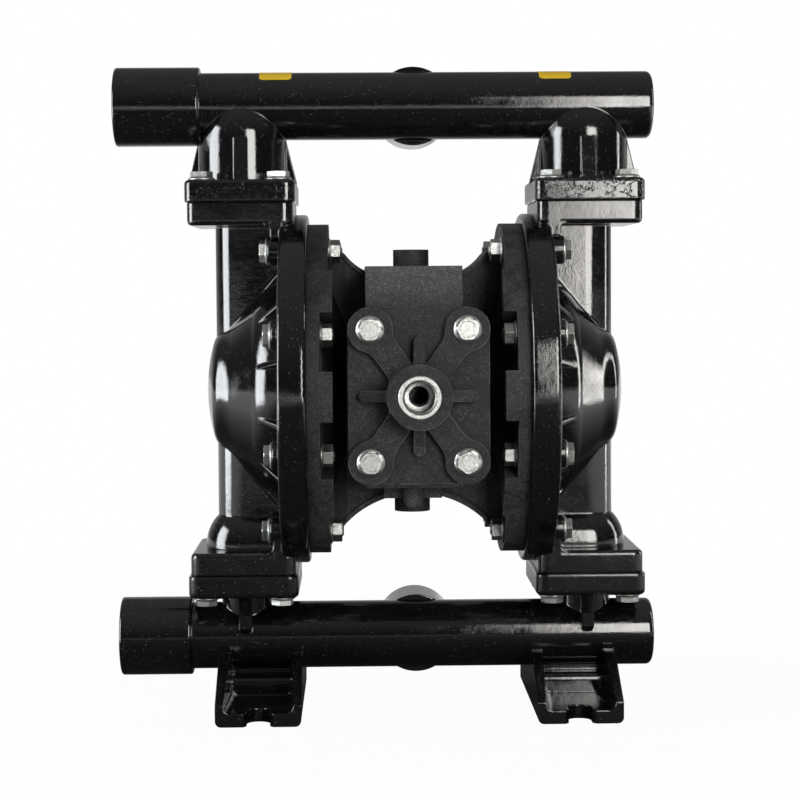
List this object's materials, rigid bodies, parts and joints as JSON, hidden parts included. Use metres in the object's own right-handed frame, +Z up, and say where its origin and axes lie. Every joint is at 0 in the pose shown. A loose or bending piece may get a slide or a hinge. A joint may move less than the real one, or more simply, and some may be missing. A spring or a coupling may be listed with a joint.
{
  "type": "air-operated double diaphragm pump",
  "caption": "Air-operated double diaphragm pump: glossy black cast chambers and manifolds on slotted feet, plastic centre body with a threaded air inlet, sliding shaft and ball check valves.",
  "frame": {"origin": "on the floor, midway between the two feet, straight under the shaft's middle", "axes": "+X along the diaphragm shaft, away from the pipe ports; +Y to the back, away from the air inlet; +Z up"},
  "size_m": [0.3605, 0.2441, 0.4328],
  "materials": {
    "gloss_black_casting": "gloss black coat over a cast surface with a fine orange-peel texture",
    "black_moulding": "fibre-filled black polypropylene with a fine grained surface",
    "black_rubber": "plain black elastomer",
    "zinc_steel": "bright zinc plating with a faint blue cast",
    "dark_plug_iron": "gloss black coat",
    "turned_aluminium": "fine turning marks",
    "bearing_bronze": "fine bored and turned surface",
    "ground_steel": "ground and polished",
    "white_polymer": "smooth white fluoropolymer"
  },
  "bodies": {
    "pump": {"discharge_manifold": "gloss_black_casting", "suction_manifold": "gloss_black_casting", "center_body": "black_moulding", "air_inlet_cover": "black_moulding", "cover_gasket": "black_rubber", "air_inlet_insert": "zinc_steel", "exhaust_insert": "zinc_steel", "cover_bolts": "zinc_steel", "valve_sleeve": "turned_aluminium", "top_end_cap": "black_moulding", "bottom_end_cap": "black_moulding", "end_cap_rings": "black_rubber", "pilot_sleeve": "bearing_bronze", "seat_rings": "black_rubber", "discharge_rear_plug": "dark_plug_iron", "suction_rear_plug": "dark_plug_iron", "discharge_flange_bolts": "zinc_steel", "suction_flange_bolts": "zinc_steel", "left_outer_chamber": "gloss_black_casting", "right_outer_chamber": "gloss_black_casting", "left_inner_chamber": "black_moulding", "right_inner_chamber": "black_moulding", "left_diaphragm": "black_rubber", "right_diaphragm": "black_rubber", "left_shaft_bush": "bearing_bronze", "right_shaft_bush": "bearing_bronze", "left_shaft_seal": "black_rubber", "right_shaft_seal": "black_rubber", "left_chamber_screws": "zinc_steel", "right_chamber_screws": "zinc_steel", "left_chamber_bolts": "zinc_steel", "right_chamber_bolts": "zinc_steel", "left_chamber_nuts": "zinc_steel", "right_chamber_nuts": "zinc_steel", "left_suction_seat": "white_polymer", "right_suction_seat": "white_polymer", "left_discharge_seat": "white_polymer", "right_discharge_seat": "white_polymer"},
    "shaft": {"diaphragm_shaft": "ground_steel", "left_inner_plate": "turned_aluminium", "right_inner_plate": "turned_aluminium", "left_outer_plate": "turned_aluminium", "right_outer_plate": "turned_aluminium", "left_plate_screw": "zinc_steel", "right_plate_screw": "zinc_steel"},
    "pilot_rod": {"pilot_spool": "ground_steel"},
    "air_spool": {"main_spool": "turned_aluminium"},
    "left_suction_check": {"left_suction_ball": "white_polymer"},
    "right_suction_check": {"right_suction_ball": "white_polymer"},
    "left_discharge_check": {"left_discharge_ball": "white_polymer"},
    "right_discharge_check": {"right_discharge_ball": "white_polymer"}
  },
  "joints": [
    {"name": "shaft_slide", "type": "slide", "parent": "pump", "child": "shaft", "axis": [1, 0, 0], "range_m": [-0.01, 0.01], "deforming": ["left_diaphragm", "right_diaphragm"]},
    {"name": "pilot_slide", "type": "slide", "parent": "pump", "child": "pilot_rod", "axis": [1, 0, 0], "range_m": [-0.004, 0.004]},
    {"name": "air_spool_slide", "type": "slide", "parent": "pump", "child": "air_spool", "axis": [0, 0, 1], "range_m": [0, 0.012]},
    {"name": "left_suction_lift", "type": "slide", "parent": "pump", "child": "left_suction_check", "axis": [0, 0, 1], "range_m": [0, 0.008]},
    {"name": "right_suction_lift", "type": "slide", "parent": "pump", "child": "right_suction_check", "axis": [0, 0, 1], "range_m": [0, 0.008]},
    {"name": "left_discharge_lift", "type": "slide", "parent": "pump", "child": "left_discharge_check", "axis": [0, 0, 1], "range_m": [0, 0.008]},
    {"name": "right_discharge_lift", "type": "slide", "parent": "pump", "child": "right_discharge_check", "axis": [0, 0, 1], "range_m": [0, 0.008]}
  ],
  "couplings": [
    {"joint": "pilot_slide", "follows": "shaft_slide", "ratio": 0.4}
  ]
}
